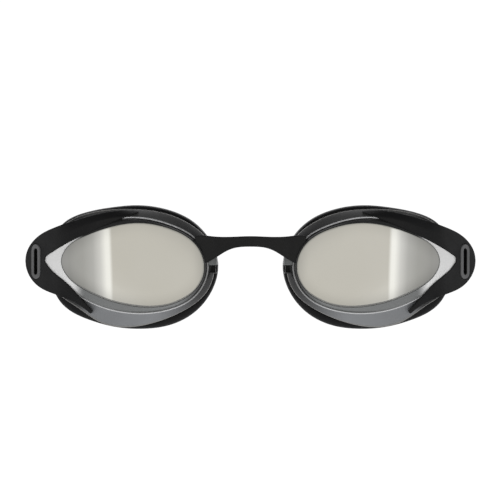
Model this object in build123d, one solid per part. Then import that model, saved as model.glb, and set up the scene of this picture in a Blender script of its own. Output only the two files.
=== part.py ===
from build123d import *
import math
import os

# Swim goggles, as worn: the wearer looks along -Y, +Z is up, and left is the wearer's left, +X.
# The origin is midway between the eyes, on the line where the nose sides of the two seals meet the face.
# Everything is mirror-symmetric about the plane X = 0, so each side piece is made once, on +X, and mirrored.

# ---- eyes -------------------------------------------------------------------------------------
eye_spacing = 77.8            # between the middles of the two skirts
skirt_width = 54.4            # clear skirt of one cup, nose to temple
skirt_height = 38.5
skirt_z = -0.85               # height of the skirt's middle
lens_margin_x = 8.0           # how much wider the skirt is than the mirrored lens
lens_margin_z = 11.5          # and how much taller
lens_width = skirt_width - lens_margin_x      # mirrored lens, nose to temple
lens_height = skirt_height - lens_margin_z
lens_shift_x = -0.7           # lens middle from the skirt's middle, towards the temple
lens_z = -0.1
lens_thickness = 1.2
bevel_width = 1.9             # clear ridge that stands round the lens
ledge_width = 1.5             # ledge behind the lens edge

# ---- front surface, seen from above -----------------------------------------------------------
wrap_start = (5.1, -20.5)     # where the flat front starts to curve back: from the skirt's middle, and y
wrap_radius = 30.0
flat_tilt = 2.0               # degrees that the flat front leans back towards the temple
temple_angle = 45.0           # degrees that the front has turned at the temple
flat_run = 60.0               # how far the construction surface runs on, past the nose
temple_run = 30.0             # and past the temple

# ---- cup, in depths behind the front surface ---------------------------------------------------
ridge_depth = 0.4             # front of the ridge
flange_front = 2.65
flange_back = 4.2
cup_wall = 1.6
rim_y = -7.0                  # rear edge of the cup at its nose side
seal_tilt = 9.0               # degrees that rim and seal lean back towards the temple
wing_reach = 1.0              # how far the clear wing passes under the frame's notch

# ---- gasket ------------------------------------------------------------------------------------
gasket_lip = 1.3              # how far the gasket stands out round the skirt
gasket_grip = 3.0             # length of skirt that it grips
gasket_depth = 7.0            # from the rim to the face
gasket_inset = 2.6            # how far its face lip reaches in

# ---- temple frame -------------------------------------------------------------------------------
frame_front = 0.3
frame_back = 2.6
frame_end_back = 5.9          # the thick end that holds the strap post
frame_end_inset = 6.2         # how far the thick end reaches in past the skirt's temple edge
slot_out = 5.3                # slot middle, outside the skirt's temple edge
slot_z = 1.0
slot_width = 1.7
slot_height = 8.6
bezel_border = 1.5
bezel_thickness = 1.2
bezel_proud = 0.3
slot_wall = 1.4               # front wall of the post's pocket
pocket_width = 6.6
pocket_height = 9.4
post_radius = 1.0
post_depth = 3.6              # post axis behind the frame's front face
post_shift = 1.2              # post axis from the slot's middle, away from the nose
post_seat = 1.6               # how far each end of the post sits in its bore

# ---- nose bridge --------------------------------------------------------------------------------
bridge_z = 7.55               # middle of the bar
bridge_height = 3.4
bridge_front_y = -21.2
bridge_thickness = 3.8
pad_front = 0.6               # depths of the pad that lies on the flange
peg_radius = 1.0
peg_length = 2.2
peg_place = (1.0, 6.8)        # from the lens's nose edge, and height
pad_reach = 2.8               # how far the pad's top edge runs on past the lens's nose edge
pad_shoulder = 0.84           # where the top edge leaves the bar, as a share of the way to the lens
# The lower edge's points: share of the way to the lens, and drop below the bar.
bridge_flare = [(0.44, 0.9), (0.72, 3.3), (0.93, 5.2)]
lug_size = (2.4, 4.4, 4.6)    # socket lug on the nose side of each cup
lug_gap = 1.6                 # from the lug's rear to the gasket's front edge, besides the free gap

# ---- strap --------------------------------------------------------------------------------------
strap_thickness = 1.2
strap_height = 9.0
strap_rise = 2.8              # degrees that the strap climbs to the back of the head
strand_height = 4.0
eye_wall = 0.85               # silicone round a post or bar
eye_height = 8.6
adjuster_start = 19.1         # first bar behind the strap post
bar_pitch = 6.0               # from bar to bar
bar_radius = 1.0
rail_height = 1.4
rail_thickness = 3.0
tail_length = 36.0
side_end_y = 60.0             # where the sides meet the back
split_run = 6.0               # straight run of the back before it divides
back_depth = 84.0             # from there to the back of the head
strand_gap = 3.0              # between the two strands' middles at the back
back_z = 8.6                  # height of the strands at the back
nest_start = 65.0             # where the strands start to nest, behind the divide
nest_end = 81.0

# ---- clearances -----------------------------------------------------------------------------------
fit = 0.05                    # bonded, seated and looped pieces
trim = 0.12                   # between neighbouring visible edges
free = 0.4                    # between pieces that move past each other

# ---- worked out ------------------------------------------------------------------------------------
eye_x = eye_spacing / 2
nose_x = eye_x - skirt_width / 2
temple_x = eye_x + skirt_width / 2
lens_x = eye_x + lens_shift_x
lens_nose_x = lens_x - lens_width / 2
tall = 60.0                   # half-length of construction columns and slabs
ahead = -15.0                 # depth, in front of the surface, where cuts from the front begin
outline_steps = 40            # points on an outline that runs beside another

# Outlines seen from the front, from -1 to 1 across the piece's width and height.
LENS_SHAPE = [
    (-1.0, -0.12), (-0.9, 0.5), (-0.5, 0.88), (-0.08, 1.0), (0.35, 0.85), (0.72, 0.62),
    (0.94, 0.35), (1.0, 0.08), (0.92, -0.25), (0.68, -0.57), (0.28, -0.84), (-0.2, -0.99),
    (-0.6, -0.89), (-0.89, -0.55),
]
SKIRT_SHAPE = [
    (-1.0, 0.06), (-0.8, 0.62), (-0.45, 0.9), (-0.05, 0.98), (0.3, 0.95), (0.62, 0.83), (0.86, 0.6),
    (0.98, 0.25), (0.98, -0.15), (0.85, -0.52), (0.52, -0.86), (0.15, -1.0), (-0.2, -0.97),
    (-0.58, -0.78), (-0.88, -0.45),
]
# The frame's edges, measured the same way from the middle of the skirt.
FRAME_OUTER = [
    (-0.1, 0.95), (0.12, 0.96), (0.34, 0.91), (0.6, 0.82), (0.9, 0.69), (1.16, 0.53),
    (1.33, 0.23), (1.33, -0.02), (1.17, -0.32), (0.85, -0.49), (0.66, -0.6), (0.47, -0.78),
]
FRAME_LOWER = [(0.44, -0.73), (0.58, -0.52), (0.79, -0.23), (0.96, -0.06), (1.04, 0.06)]
FRAME_UPPER = [(1.04, 0.19), (0.79, 0.38), (0.45, 0.6), (0.1, 0.81), (-0.1, 0.92)]


def closed_curve(points, centre, width, height):
    """A smooth closed outline in the front view, for a piece of this middle and size."""
    places = [(centre[0] + u * width / 2, centre[1] + v * height / 2) for u, v in points]
    return Spline(*places, periodic=True)


def grown(curve, amount):
    """The face inside a closed outline, made larger all round by amount, or smaller if it is negative."""
    if amount == 0:
        return make_face(curve)
    places = []
    for step in range(outline_steps):
        along = curve.tangent_at(step / outline_steps)
        outward = Vector(-along.Y, along.X)
        places.append(curve.position_at(step / outline_steps) + outward * amount)
    return make_face(Spline(*places, periodic=True))


def column(face):
    """The front-view face pushed through the whole depth of the goggles."""
    return extrude(Plane.XZ * face, amount=tall, both=True)


def surface_points(depth):
    """Corner points, nose to temple, of the front surface seen from above, set back by depth."""
    first = math.radians(flat_tilt)
    last = math.radians(temple_angle)
    start = Vector(eye_x + wrap_start[0], wrap_start[1])
    centre = start + Vector(-math.sin(first), math.cos(first)) * wrap_radius

    def on_arc(angle):
        return centre + Vector(math.sin(angle), -math.cos(angle)) * (wrap_radius - depth)

    begin = on_arc(first)
    end = on_arc(last)
    nose = begin - Vector(math.cos(first), math.sin(first)) * flat_run
    tip = end + Vector(math.cos(last), math.sin(last)) * temple_run
    return nose, begin, on_arc((first + last) / 2), end, tip


def surface_line(points):
    nose, begin, middle, end, tip = points
    return [Line(nose, begin), ThreePointArc(begin, middle, end), Line(end, tip)]


def surface_at(x):
    """y of the front surface on the straight temple stretch."""
    end, tip = surface_points(0)[3:]
    return end.Y + (x - end.X) * math.tan(math.radians(temple_angle))


def slab(edges):
    """Everything above and below a closed line seen from above."""
    return extrude(make_face(edges), amount=tall, both=True)


def layer(front, back):
    """Space between two depths behind the front surface."""
    before = surface_points(front)
    behind = surface_points(back)
    ends = [Line(before[0], behind[0]), Line(before[-1], behind[-1])]
    return slab(surface_line(before) + surface_line(behind) + ends)


def seal_line(y, x):
    """y, at x, of the leaning line that is at y on the cup's nose side."""
    return y + (x - nose_x) * math.tan(math.radians(seal_tilt))


def seal_slab(front, back):
    """Space between two leaning lines, given at the cup's nose side."""
    far = temple_x + tall
    corners = [(0, seal_line(front, 0)), (far, seal_line(front, far)), (far, seal_line(back, far)),
               (0, seal_line(back, 0))]
    return slab(Polyline(*corners, close=True))


def surface_to_rim(depth):
    """Space from a depth behind the front surface to the cup's rim."""
    before = surface_points(depth)
    far = before[-1].X
    back = [Line(before[0], (before[0].X, seal_line(rim_y, before[0].X))),
            Line((before[0].X, seal_line(rim_y, before[0].X)), (far, seal_line(rim_y, far))),
            Line((far, seal_line(rim_y, far)), before[-1])]
    return slab(surface_line(before) + back)


lens_curve = closed_curve(LENS_SHAPE, (lens_x, lens_z), lens_width, lens_height)
skirt_curve = closed_curve(SKIRT_SHAPE, (eye_x, skirt_z), skirt_width, skirt_height)


def skirt_place(u, v):
    return (eye_x + u * skirt_width / 2, skirt_z + v * skirt_height / 2)


def frame_face():
    """The hook seen from the front: a thick end and two arms that taper along the lens."""
    outer = Spline(*[skirt_place(u, v) for u, v in FRAME_OUTER])
    lower = Spline(*[skirt_place(u, v) for u, v in FRAME_LOWER])
    upper = Spline(*[skirt_place(u, v) for u, v in FRAME_UPPER])
    apex = ThreePointArc(lower @ 1, ((lower @ 1) + (upper @ 0)) / 2 + Vector(0.6, 0), upper @ 0)
    return make_face([outer, Line(outer @ 1, lower @ 0), lower, apex, upper, Line(upper @ 1, outer @ 0)])


def wing_face():
    """The clear wing: from the lens to just past the notch between the frame's arms."""
    upper = skirt_place(*FRAME_UPPER[0])
    lower = skirt_place(*FRAME_LOWER[-1])
    corners = [skirt_place(*FRAME_UPPER[2]), (upper[0] + wing_reach, upper[1]), (lower[0] + wing_reach, lower[1]),
               skirt_place(*FRAME_LOWER[1]), (lens_x, lens_z)]
    return make_face(Polyline(*corners, close=True))


def plate_face():
    return grown(lens_curve, bevel_width) + wing_face()


def slot_plane(depth=0.0, shift=0.0):
    """Plane on the frame's slanting end, at the slot: x away from the nose, y up, z out of the surface."""
    turn = math.radians(temple_angle)
    along = Vector(math.cos(turn), math.sin(turn))
    out = Vector(math.sin(turn), -math.cos(turn))
    x = temple_x + slot_out
    place = Vector(x, surface_at(x), slot_z) + along * shift - out * (frame_front + depth)
    return Plane(origin=place, x_dir=along, z_dir=out)


post_place = slot_plane(post_depth, post_shift).origin
strap_x = post_place.X
split_y = side_end_y + split_run


def upright(radius, height, place):
    """A vertical cylinder centred on a point."""
    return Pos(place.X, place.Y, place.Z) * Cylinder(radius, height)


def mirror_lens():
    return column(grown(lens_curve, 0)) & layer(0, lens_thickness)


def eyecup():
    opening = column(grown(lens_curve, -ledge_width))
    seat = column(grown(lens_curve, fit)) & layer(ahead, lens_thickness + fit)
    ridge = column(plate_face()) & layer(ridge_depth, frame_front + slot_wall)
    ridge = ridge + (column(plate_face() & grown(skirt_curve, 0)) & layer(ridge_depth, flange_back))
    flange = column(grown(skirt_curve, 0)) & layer(flange_front, flange_back)
    wall = column(grown(skirt_curve, 0)) - column(grown(skirt_curve, -cup_wall))
    cup = ridge + flange + (wall & surface_to_rim(flange_front))
    cup = cup - opening - seat
    cup = cup - (column(frame_face()) & layer(ahead, frame_back + fit))
    cup = cup - (column(pad_face(trim)) & layer(ahead, flange_front))
    lug_back = rim_y - gasket_grip - free - lug_gap
    lug = Pos(nose_x, lug_back - lug_size[1] / 2, 0) * Box(*lug_size)
    cup = cup + (lug - column(grown(skirt_curve, -cup_wall)))
    return cup - Pos(*peg_origin()) * Rot(90, 0, 0) * Cylinder(peg_radius + fit, 4 * peg_length)


def temple_frame():
    face = frame_face() - grown(lens_curve, trim)
    thin = column(face) & layer(frame_front, frame_back)
    end = column(face - grown(skirt_curve, gasket_lip + trim)) & layer(frame_back - fit, frame_end_back)
    end = end & Pos(temple_x - frame_end_inset + tall, 0, 0) * Box(2 * tall, 4 * tall, 4 * tall)
    hook = thin + end
    plane = slot_plane()
    recess = SlotOverall(slot_height + 2 * bezel_border + 2 * fit, slot_width + 2 * bezel_border + 2 * fit, rotation=90)
    depth = bezel_thickness - bezel_proud + fit
    hook = hook - extrude(plane * recess, amount=-depth)
    hook = hook - extrude(plane * SlotOverall(slot_height, slot_width, rotation=90), amount=-frame_end_back)
    pocket = slot_plane(slot_wall, post_shift) * Rectangle(pocket_width, pocket_height)
    hook = hook - extrude(pocket, amount=-2 * frame_end_back)
    return hook - upright(post_radius + fit / 2, pocket_height + 2 * post_seat, post_place)


def slot_bezel():
    ring = SlotOverall(slot_height + 2 * bezel_border, slot_width + 2 * bezel_border, rotation=90)
    ring = ring - SlotOverall(slot_height, slot_width, rotation=90)
    return extrude(slot_plane(-bezel_proud) * ring, amount=-bezel_thickness)


def strap_post():
    return upright(post_radius, pocket_height + 2 * post_seat - 2 * fit, post_place)


def gasket():
    outer = column(grown(skirt_curve, gasket_lip))
    grip = (outer - column(grown(skirt_curve, fit))) & seal_slab(rim_y - gasket_grip, rim_y + fit)
    face = (outer - column(grown(skirt_curve, -gasket_inset))) & seal_slab(rim_y + fit, rim_y + gasket_depth)
    return grip + face


def bridge_face(room=0):
    """Half of the bridge seen from the front, with its pad running on under the lens, and room round it."""
    top = bridge_z + bridge_height / 2 + room
    low = bridge_z - bridge_height / 2 - room
    flare = [(share * lens_nose_x, low - drop) for share, drop in bridge_flare]
    tip = flare[-1]
    heel = (lens_nose_x + pad_reach + room, top)
    lower = Spline((0, low), *flare, tangents=[(1, 0), (1, -0.55)])
    upper = Spline(heel, (pad_shoulder * lens_nose_x, top), (0, top), tangents=[(-1, 0.6), (-1, 0)])
    under = Polyline(tip, (heel[0], tip[1]), heel)
    return make_face([lower] + under.edges() + [upper, Line(upper @ 1, lower @ 0)])


def pad_face(room=0):
    return bridge_face(room) - grown(lens_curve, trim - room)


def peg_origin():
    x = lens_nose_x + peg_place[0]
    return (x, surface_points(flange_front)[1].Y, peg_place[1])


def nose_bridge():
    step_x = nose_x - free
    bar = column(pad_face()) & Pos(step_x / 2, bridge_front_y + bridge_thickness / 2, 0) * Box(
        step_x, bridge_thickness, 2 * tall)
    pad = column(pad_face()) & layer(pad_front, flange_front - trim)
    pad = pad & Pos(step_x + tall, 0, 0) * Box(2 * tall, 2 * tall, 2 * tall)
    x, y, z = peg_origin()
    peg = Pos(x, y + peg_length / 2 - flange_front / 2, z) * Rot(90, 0, 0) * Cylinder(
        peg_radius, peg_length + flange_front / 2)
    half = bar + pad + peg
    return half + mirror(half, Plane.YZ)


def climb(shape):
    """Turns a level strap piece to the strap's rise, about the post."""
    return shape.rotate(Axis(post_place, (1, 0, 0)), strap_rise)


def bar_place(number):
    return post_place + Vector(0, adjuster_start + number * bar_pitch, 0)


def strap_box(x, y_start, y_end, thickness=strap_thickness, height=strap_height):
    """A level run of strap at x, from one y to another."""
    return Pos(x, (y_start + y_end) / 2, slot_z) * Box(thickness, y_end - y_start, height)


def strap_end():
    front_eye = upright(post_radius + fit + eye_wall, eye_height, post_place)
    back_eye = climb(upright(bar_radius + fit + eye_wall, eye_height, bar_place(0)))
    tab = strap_box(strap_x, post_place.Y, bar_place(0).Y, height=eye_height)
    body = front_eye + climb(tab) + back_eye
    body = body - upright(post_radius + fit, 2 * eye_height, post_place)
    return body - climb(upright(bar_radius + fit, 2 * eye_height, bar_place(0)))


def adjuster():
    """Three upright bars between two rails."""
    inner = strap_height / 2 + free
    run = 2 * bar_pitch + 2 * rail_thickness / 2
    rail = SlotOverall(run, rail_thickness, rotation=90)
    middle = bar_place(1)
    shape = upright(bar_radius, 2 * inner + rail_height, bar_place(0))
    for number in (1, 2):
        shape = shape + upright(bar_radius, 2 * inner + rail_height, bar_place(number))
    for side in (-1, 1):
        level = middle.Z + side * (inner + rail_height / 2)
        shape = shape + extrude(Pos(middle.X, middle.Y, level) * rail, amount=rail_height / 2, both=True)
    return climb(shape)


strap_offset = bar_radius + 3 * fit + strap_thickness / 2
band_x = strap_x - strap_offset


def band_between(y_start, y_end):
    """The rising band on the left side, cut square at both ends."""
    band = climb(strap_box(band_x, y_start - split_run, y_end + split_run))
    return band & Pos(0, (y_start + y_end) / 2, 0) * Box(4 * tall, y_end - y_start, 4 * tall)


def strap_side():
    return band_between(bar_place(1).Y + free, side_end_y - fit)


def strap_tail():
    """The strap's turn round the middle bar, and its loose end on the outside."""
    bar = bar_place(1)
    ring = upright(strap_offset + strap_thickness / 2, strap_height, bar)
    ring = ring - upright(strap_offset - strap_thickness / 2, 2 * strap_height, bar)
    ring = ring & Pos(bar.X, bar.Y - tall, 0) * Box(4 * tall, 2 * tall, 4 * tall)
    tail = strap_box(strap_x + strap_offset, bar.Y, bar.Y + tail_length)
    return climb(ring + tail)


def back_band(width, depth):
    """A half ellipse of strap seen from above, for the back of the head."""
    half = strap_thickness / 2
    outer = Ellipse(width + half, depth + half)
    inner = Ellipse(width - half, depth - half)
    behind = Pos(0, tall * 2, 0) * Rectangle(8 * tall, tall * 4)
    return extrude(Pos(0, split_y, 0) * ((outer - inner) & behind), amount=tall, both=True)


def strand_slab(offset_z, height):
    """Space that a strand fills seen from the side: it climbs, then eases to the shared height."""
    slope = math.tan(math.radians(strap_rise))
    start = split_y
    ease = split_y + nest_start
    nest = split_y + nest_end
    far = split_y + back_depth + 2 * strand_gap

    def middle(y):
        return slot_z + (y - post_place.Y) * slope + offset_z

    edges = []
    for side in (-1, 1):
        lift = side * height / 2
        first = Line((start, middle(start) + lift), (ease, middle(ease) + lift))
        curve = Spline(first @ 1, (nest, back_z + lift), tangents=[(1, slope), (1, 0)])
        edges.append([first, curve, Line(curve @ 1, (far, back_z + lift))])
    ends = [Line(edges[0][0] @ 0, edges[1][0] @ 0), Line(edges[0][2] @ 1, edges[1][2] @ 1)]
    return extrude(Plane.YZ * make_face(edges[0] + edges[1] + ends), amount=2 * tall, both=True)


def strap_back():
    """The back of the strap: one band that divides into two strands, nested at the back of the head."""
    apart = (strap_height - strand_height) / 2
    upper = back_band(band_x, back_depth + strand_gap) & strand_slab(apart, strand_height)
    lower = back_band(band_x, back_depth) & strand_slab(-apart, strand_height)
    web = band_between(side_end_y, split_y)
    return upper + lower + web + mirror(web, Plane.YZ)


def solids_only(shape):
    """The shape as one solid, or as a compound of its solids."""
    found = shape.solids()
    if len(found) == 1:
        return found[0]
    return Compound(children=list(found))


def write(name, shape):
    shape = solids_only(shape)
    shape.label = name
    export_step(shape, "parts/" + name + ".step")


paired = {
    "mirror_lens": mirror_lens,
    "eyecup": eyecup,
    "temple_frame": temple_frame,
    "slot_bezel": slot_bezel,
    "strap_post": strap_post,
    "gasket": gasket,
    "strap_end": strap_end,
    "adjuster": adjuster,
    "strap_side": strap_side,
    "strap_tail": strap_tail,
}
single = {
    "nose_bridge": nose_bridge,
    "strap_back": strap_back,
}

os.makedirs("parts", exist_ok=True)
for name, make in paired.items():
    piece = make()
    write(name + "_left", piece)
    write(name + "_right", mirror(piece, Plane.YZ))
for name, make in single.items():
    write(name, make())
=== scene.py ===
import bpy
import math
import numpy as np
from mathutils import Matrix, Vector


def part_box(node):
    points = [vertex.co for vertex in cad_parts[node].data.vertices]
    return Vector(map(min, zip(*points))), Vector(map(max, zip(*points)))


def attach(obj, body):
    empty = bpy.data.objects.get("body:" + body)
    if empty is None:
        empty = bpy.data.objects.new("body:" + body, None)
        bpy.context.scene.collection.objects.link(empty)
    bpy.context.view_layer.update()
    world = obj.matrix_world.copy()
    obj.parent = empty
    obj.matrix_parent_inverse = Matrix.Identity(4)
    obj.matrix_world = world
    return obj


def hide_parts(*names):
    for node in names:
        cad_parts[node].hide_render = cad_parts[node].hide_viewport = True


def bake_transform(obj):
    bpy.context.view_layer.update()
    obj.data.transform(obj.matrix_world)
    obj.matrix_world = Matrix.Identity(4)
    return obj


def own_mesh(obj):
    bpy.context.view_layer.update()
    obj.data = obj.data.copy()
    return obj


# Swim goggles: the looks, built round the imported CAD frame. Lengths in this script are millimetres until a mesh
# is made. +X is the wearer's left. Each side piece is made on +X, and mirrored for the right.

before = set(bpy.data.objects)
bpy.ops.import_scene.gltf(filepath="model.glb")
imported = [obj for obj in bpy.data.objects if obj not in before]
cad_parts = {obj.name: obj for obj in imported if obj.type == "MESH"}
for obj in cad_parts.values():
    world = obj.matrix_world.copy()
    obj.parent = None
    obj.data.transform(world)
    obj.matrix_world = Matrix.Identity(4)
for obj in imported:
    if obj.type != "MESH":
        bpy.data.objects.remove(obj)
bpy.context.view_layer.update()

MM = 0.001
SIDES = (("left", 1.0), ("right", -1.0))


def box_mm(node):
    """The low and high corners of a CAD node's box, in millimetres."""
    low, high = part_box(node)
    return np.array(low) / MM, np.array(high) / MM


# ---- places read from the frame --------------------------------------------------------------------
lens_low, lens_high = box_mm("mirror_lens_left")
cup_low, cup_high = box_mm("eyecup_left")
seal_low, seal_high = box_mm("gasket_left")
ring_low, ring_high = box_mm("slot_bezel_left")
post_low, post_high = box_mm("strap_post_left")
post = (post_low + post_high) / 2
side_high = box_mm("strap_side_left")[1]        # its y is where a side of the strap meets the back

# ---- the front surface and the seal's plane, as the CAD part has them ----------------------------------
FLAT_TILT = math.radians(2.0)                   # how far the flat front leans back towards the temple
TEMPLE_ANGLE = math.radians(45.0)               # how far the front has turned at the temple
WRAP_RADIUS = 30.0
WRAP_START = np.array([44.0, -20.5])            # (x, y) where the flat front starts to wrap
WRAP_CENTRE = WRAP_START + WRAP_RADIUS * np.array([-math.sin(FLAT_TILT), math.cos(FLAT_TILT)])
SEAL_TILT = math.tan(math.radians(9.0))         # how far rim and seal lean back, for each millimetre of x
RIM_Y = -7.0                                    # rear edge of the cup beside the nose
NOSE_X = 11.7                                   # nose side of the skirt

EYE = np.array([39.0, -0.5])                    # (x, z) of the middle that the rings go round
RING = 240                                      # points in a ring


def surface(x, depth):
    """y of the surface that lies depth behind the front, nearly flat and then wrapping to the temple."""
    x = np.asarray(x, float)
    radius = WRAP_RADIUS - depth
    begin = WRAP_CENTRE + radius * np.array([math.sin(FLAT_TILT), -math.cos(FLAT_TILT)])
    end = WRAP_CENTRE + radius * np.array([math.sin(TEMPLE_ANGLE), -math.cos(TEMPLE_ANGLE)])
    inside = np.clip(x - WRAP_CENTRE[0], -radius, radius)
    arc = WRAP_CENTRE[1] - np.sqrt(radius ** 2 - inside ** 2)
    flat = begin[1] + (x - begin[0]) * math.tan(FLAT_TILT)
    temple = end[1] + (x - end[0]) * math.tan(TEMPLE_ANGLE)
    return np.where(x < begin[0], flat, np.where(x > end[0], temple, arc))


def seal_line(x, y):
    """y, at x, of a line that leans with the seal and is at y beside the nose."""
    return y + (np.asarray(x) - NOSE_X) * SEAL_TILT


# ---- outlines, from -1 to 1 across each one's box ----------------------------------------------------
LENS_SHAPE = [
    (-1.0, -0.12), (-0.9, 0.45), (-0.52, 0.87), (-0.08, 1.0), (0.3, 0.9), (0.65, 0.69), (0.9, 0.44),
    (1.0, 0.1), (0.92, -0.24), (0.7, -0.54), (0.36, -0.81), (0.02, -0.96), (-0.3, -1.0),
    (-0.64, -0.87), (-0.9, -0.54),
]
RIDGE_SHAPE = [
    (-1.0, -0.04), (-0.96, 0.3), (-0.84, 0.58), (-0.6, 0.82), (-0.15, 1.0), (0.22, 0.92), (0.57, 0.72),
    (0.87, 0.45), (1.0, 0.06), (0.83, -0.32), (0.55, -0.62), (0.22, -0.88), (-0.2, -1.0),
    (-0.55, -0.92), (-0.86, -0.62),
]
SKIRT_SHAPE = [
    (-1.0, 0.1), (-0.94, 0.43), (-0.72, 0.74), (-0.42, 0.93), (-0.06, 1.0), (0.28, 0.985), (0.59, 0.895),
    (0.85, 0.68), (0.98, 0.29), (0.99, -0.17), (0.905, -0.42), (0.7, -0.612), (0.555, -0.74),
    (0.37, -0.9), (0.08, -1.0), (-0.3, -0.92), (-0.65, -0.71), (-0.92, -0.38),
]
SEAL_SHAPE = [
    (-1.0, 0.06), (-0.92, 0.4), (-0.72, 0.72), (-0.4, 0.93), (-0.05, 1.0), (0.28, 0.965), (0.59, 0.88),
    (0.855, 0.69), (0.985, 0.31), (0.983, -0.25), (0.856, -0.606), (0.51, -0.87), (0.2, -0.975),
    (-0.09, -1.0), (-0.42, -0.94), (-0.72, -0.73), (-0.94, -0.34),
]
OUTLINE_POINTS = 1200                           # points in an outline

# How far each outline's box stands past its CAD node's box, as (x, z) at the low corner and at the high one.
RIDGE_PAST_LENS = ((-1.2, -2.1), (7.4, 1.9))
SEAL_PAST = ((0.3, 0.1), (0.0, 0.4))
SKIRT_IN_SEAL = 0.6                             # from the seal's temple edge in to the skirt's


def cubic_loop(points, count):
    """Points evenly spaced in parameter on the smooth closed curve through some points."""
    points = np.asarray(points, float)
    n = len(points)
    step = np.linalg.norm(np.roll(points, -1, 0) - points, axis=1)
    matrix = np.zeros((n, n))
    right = np.zeros((n, 2))
    for i in range(n):
        before, after = step[i - 1], step[i]
        matrix[i, i - 1] += before
        matrix[i, i] += 2 * (before + after)
        matrix[i, (i + 1) % n] += after
        right[i] = 6 * ((points[(i + 1) % n] - points[i]) / after - (points[i] - points[i - 1]) / before)
    bend = np.linalg.solve(matrix, right)
    knots = np.concatenate([[0], np.cumsum(step)])
    where = np.linspace(0, knots[-1], count, endpoint=False)
    i = np.clip(np.searchsorted(knots, where, side="right") - 1, 0, n - 1)
    j = (i + 1) % n
    h = step[i][:, None]
    a = (knots[i + 1] - where)[:, None]
    b = (where - knots[i])[:, None]
    return (bend[i] * a ** 3 / (6 * h) + bend[j] * b ** 3 / (6 * h)
            + (points[i] / h - bend[i] * h / 6) * a + (points[j] / h - bend[j] * h / 6) * b)


def outline(shape, low, high):
    """A smooth closed outline in the front view that fills the box from low to high, each (x, z)."""
    low, high = np.asarray(low, float), np.asarray(high, float)
    return cubic_loop((low + high) / 2 + np.asarray(shape) * (high - low) / 2, OUTLINE_POINTS)


ANGLES = np.linspace(0, 2 * math.pi, RING, endpoint=False)
ROUND = np.stack([np.cos(ANGLES), np.sin(ANGLES)], axis=1)


def reach(loop):
    """Distance from the eye's middle to a loop, at each of the ring's angles."""
    offset = loop - EYE
    angle = np.arctan2(offset[:, 1], offset[:, 0])
    order = np.argsort(angle)
    angle, distance = angle[order], np.linalg.norm(offset, axis=1)[order]
    return np.interp(ANGLES, angle, distance, period=2 * math.pi)


LENS = reach(outline(LENS_SHAPE, lens_low[[0, 2]], lens_high[[0, 2]]))
RIDGE = reach(outline(RIDGE_SHAPE, lens_low[[0, 2]] + RIDGE_PAST_LENS[0],
                      lens_high[[0, 2]] + RIDGE_PAST_LENS[1]))
SKIRT = reach(outline(SKIRT_SHAPE, (NOSE_X, cup_low[2]), (seal_high[0] - SKIRT_IN_SEAL, cup_high[2])))
SEAL = reach(outline(SEAL_SHAPE, seal_low[[0, 2]] + SEAL_PAST[0], seal_high[[0, 2]] + SEAL_PAST[1]))


def ring_at(distance, y):
    """Points at a distance from the eye's middle, with y worked out from x."""
    x = EYE[0] + distance * ROUND[:, 0]
    z = EYE[1] + distance * ROUND[:, 1]
    return np.stack([x, y(x), z], axis=1)


def on_surface(distance, depth):
    """A ring that lies depth behind the front surface."""
    return ring_at(distance, lambda x: surface(x, depth))


def on_seal(distance, y):
    """A ring that leans with the seal and is at y beside the nose."""
    return ring_at(distance, lambda x: seal_line(x, y))


def smooth_step(share):
    """A share from 0 to 1, eased at both ends."""
    return share * share * (3 - 2 * share)


# ---- making meshes --------------------------------------------------------------------------------
def mesh_object(name, points, faces, materials, side=1.0, smooth_angle=None, which=None):
    """An object from points in millimetres; side -1 mirrors it across X = 0. which has each face's material."""
    points = np.asarray(points, float) * MM
    points[:, 0] *= side
    if side < 0:
        faces = [tuple(reversed(face)) for face in faces]
    mesh = bpy.data.meshes.new(name)
    mesh.from_pydata([tuple(p) for p in points], [], faces)
    for used in materials:
        mesh.materials.append(used)
    if which is not None:
        mesh.polygons.foreach_set("material_index", np.asarray(which, np.int32))
    made = bpy.data.objects.new(name, mesh)
    bpy.context.scene.collection.objects.link(made)
    if smooth_angle is None:
        mesh.shade_smooth()
    else:
        bpy.ops.object.select_all(action="DESELECT")
        made.select_set(True)
        bpy.context.view_layer.objects.active = made
        bpy.ops.object.shade_auto_smooth(angle=math.radians(smooth_angle))
        for modifier in list(made.modifiers):
            bpy.ops.object.modifier_apply(modifier=modifier.name)
    return made


def rings_mesh(rings, closed):
    """Points and faces that join rings of equal length; closed joins the last ring to the first."""
    count = len(rings[0])
    points = np.concatenate(rings)
    faces = []
    last = len(rings) if closed else len(rings) - 1
    for r in range(last):
        a, b = r * count, ((r + 1) % len(rings)) * count
        for i in range(count):
            j = (i + 1) % count
            faces.append((a + i, a + j, b + j, b + i))
    return points, faces


# ---- materials ---------------------------------------------------------------------------------------
NOISE_LOW, NOISE_HIGH = 0.3, 0.7                # the part of a noise's range that is used
SHADER = "Principled BSDF"


def material(name, colour, roughness, metallic=0.0, **sockets):
    """A plain material; further sockets are named with _ for each space."""
    made = bpy.data.materials.new(name)
    made.use_nodes = True
    shader = made.node_tree.nodes[SHADER]
    shader.inputs["Base Color"].default_value = (*colour, 1.0)
    shader.inputs["Roughness"].default_value = roughness
    shader.inputs["Metallic"].default_value = metallic
    for socket, value in sockets.items():
        shader.inputs[socket.replace("_", " ")].default_value = value
    return made


def node(made, kind, **values):
    new = made.node_tree.nodes.new(kind)
    for key, value in values.items():
        setattr(new, key, value)
    return new


def link(made, output, socket):
    made.node_tree.links.new(output, socket)


def noise(made, scale, detail=3.0, roughness=0.55):
    """A noise texture fixed to the piece, in features to the metre."""
    place = node(made, "ShaderNodeTexCoord")
    texture = node(made, "ShaderNodeTexNoise")
    texture.inputs["Scale"].default_value = scale
    texture.inputs["Detail"].default_value = detail
    texture.inputs["Roughness"].default_value = roughness
    link(made, place.outputs["Object"], texture.inputs["Vector"])
    return texture


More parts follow.
